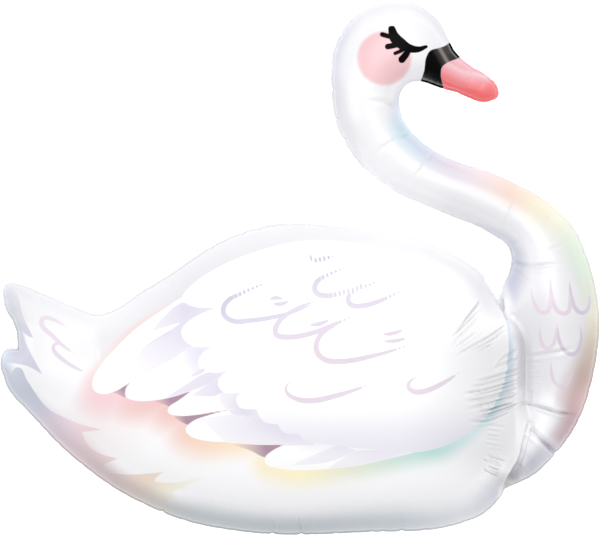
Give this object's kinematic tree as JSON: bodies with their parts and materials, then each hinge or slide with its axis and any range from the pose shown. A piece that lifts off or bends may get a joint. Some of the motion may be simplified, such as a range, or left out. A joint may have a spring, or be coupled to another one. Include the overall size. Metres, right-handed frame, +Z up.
{
  "type": "swan foil balloon",
  "caption": "Inflated foil balloon in the shape of a swimming swan with a curved neck, a folded wing and a bill, lying on its side.",
  "frame": {"origin": "on the floor under the middle of the outline as the balloon lies on its side", "axes": "+X from the tail towards the breast and the bill, +Y towards the crown of the head, +Z up through the two films"},
  "size_m": [0.889, 0.792, 0.285],
  "materials": {
    "pearl_foil": "printed pearl-white film with a soft satin gloss"
  },
  "bodies": {
    "root": {"balloon_envelope": "pearl_foil"}
  },
  "joints": []
}
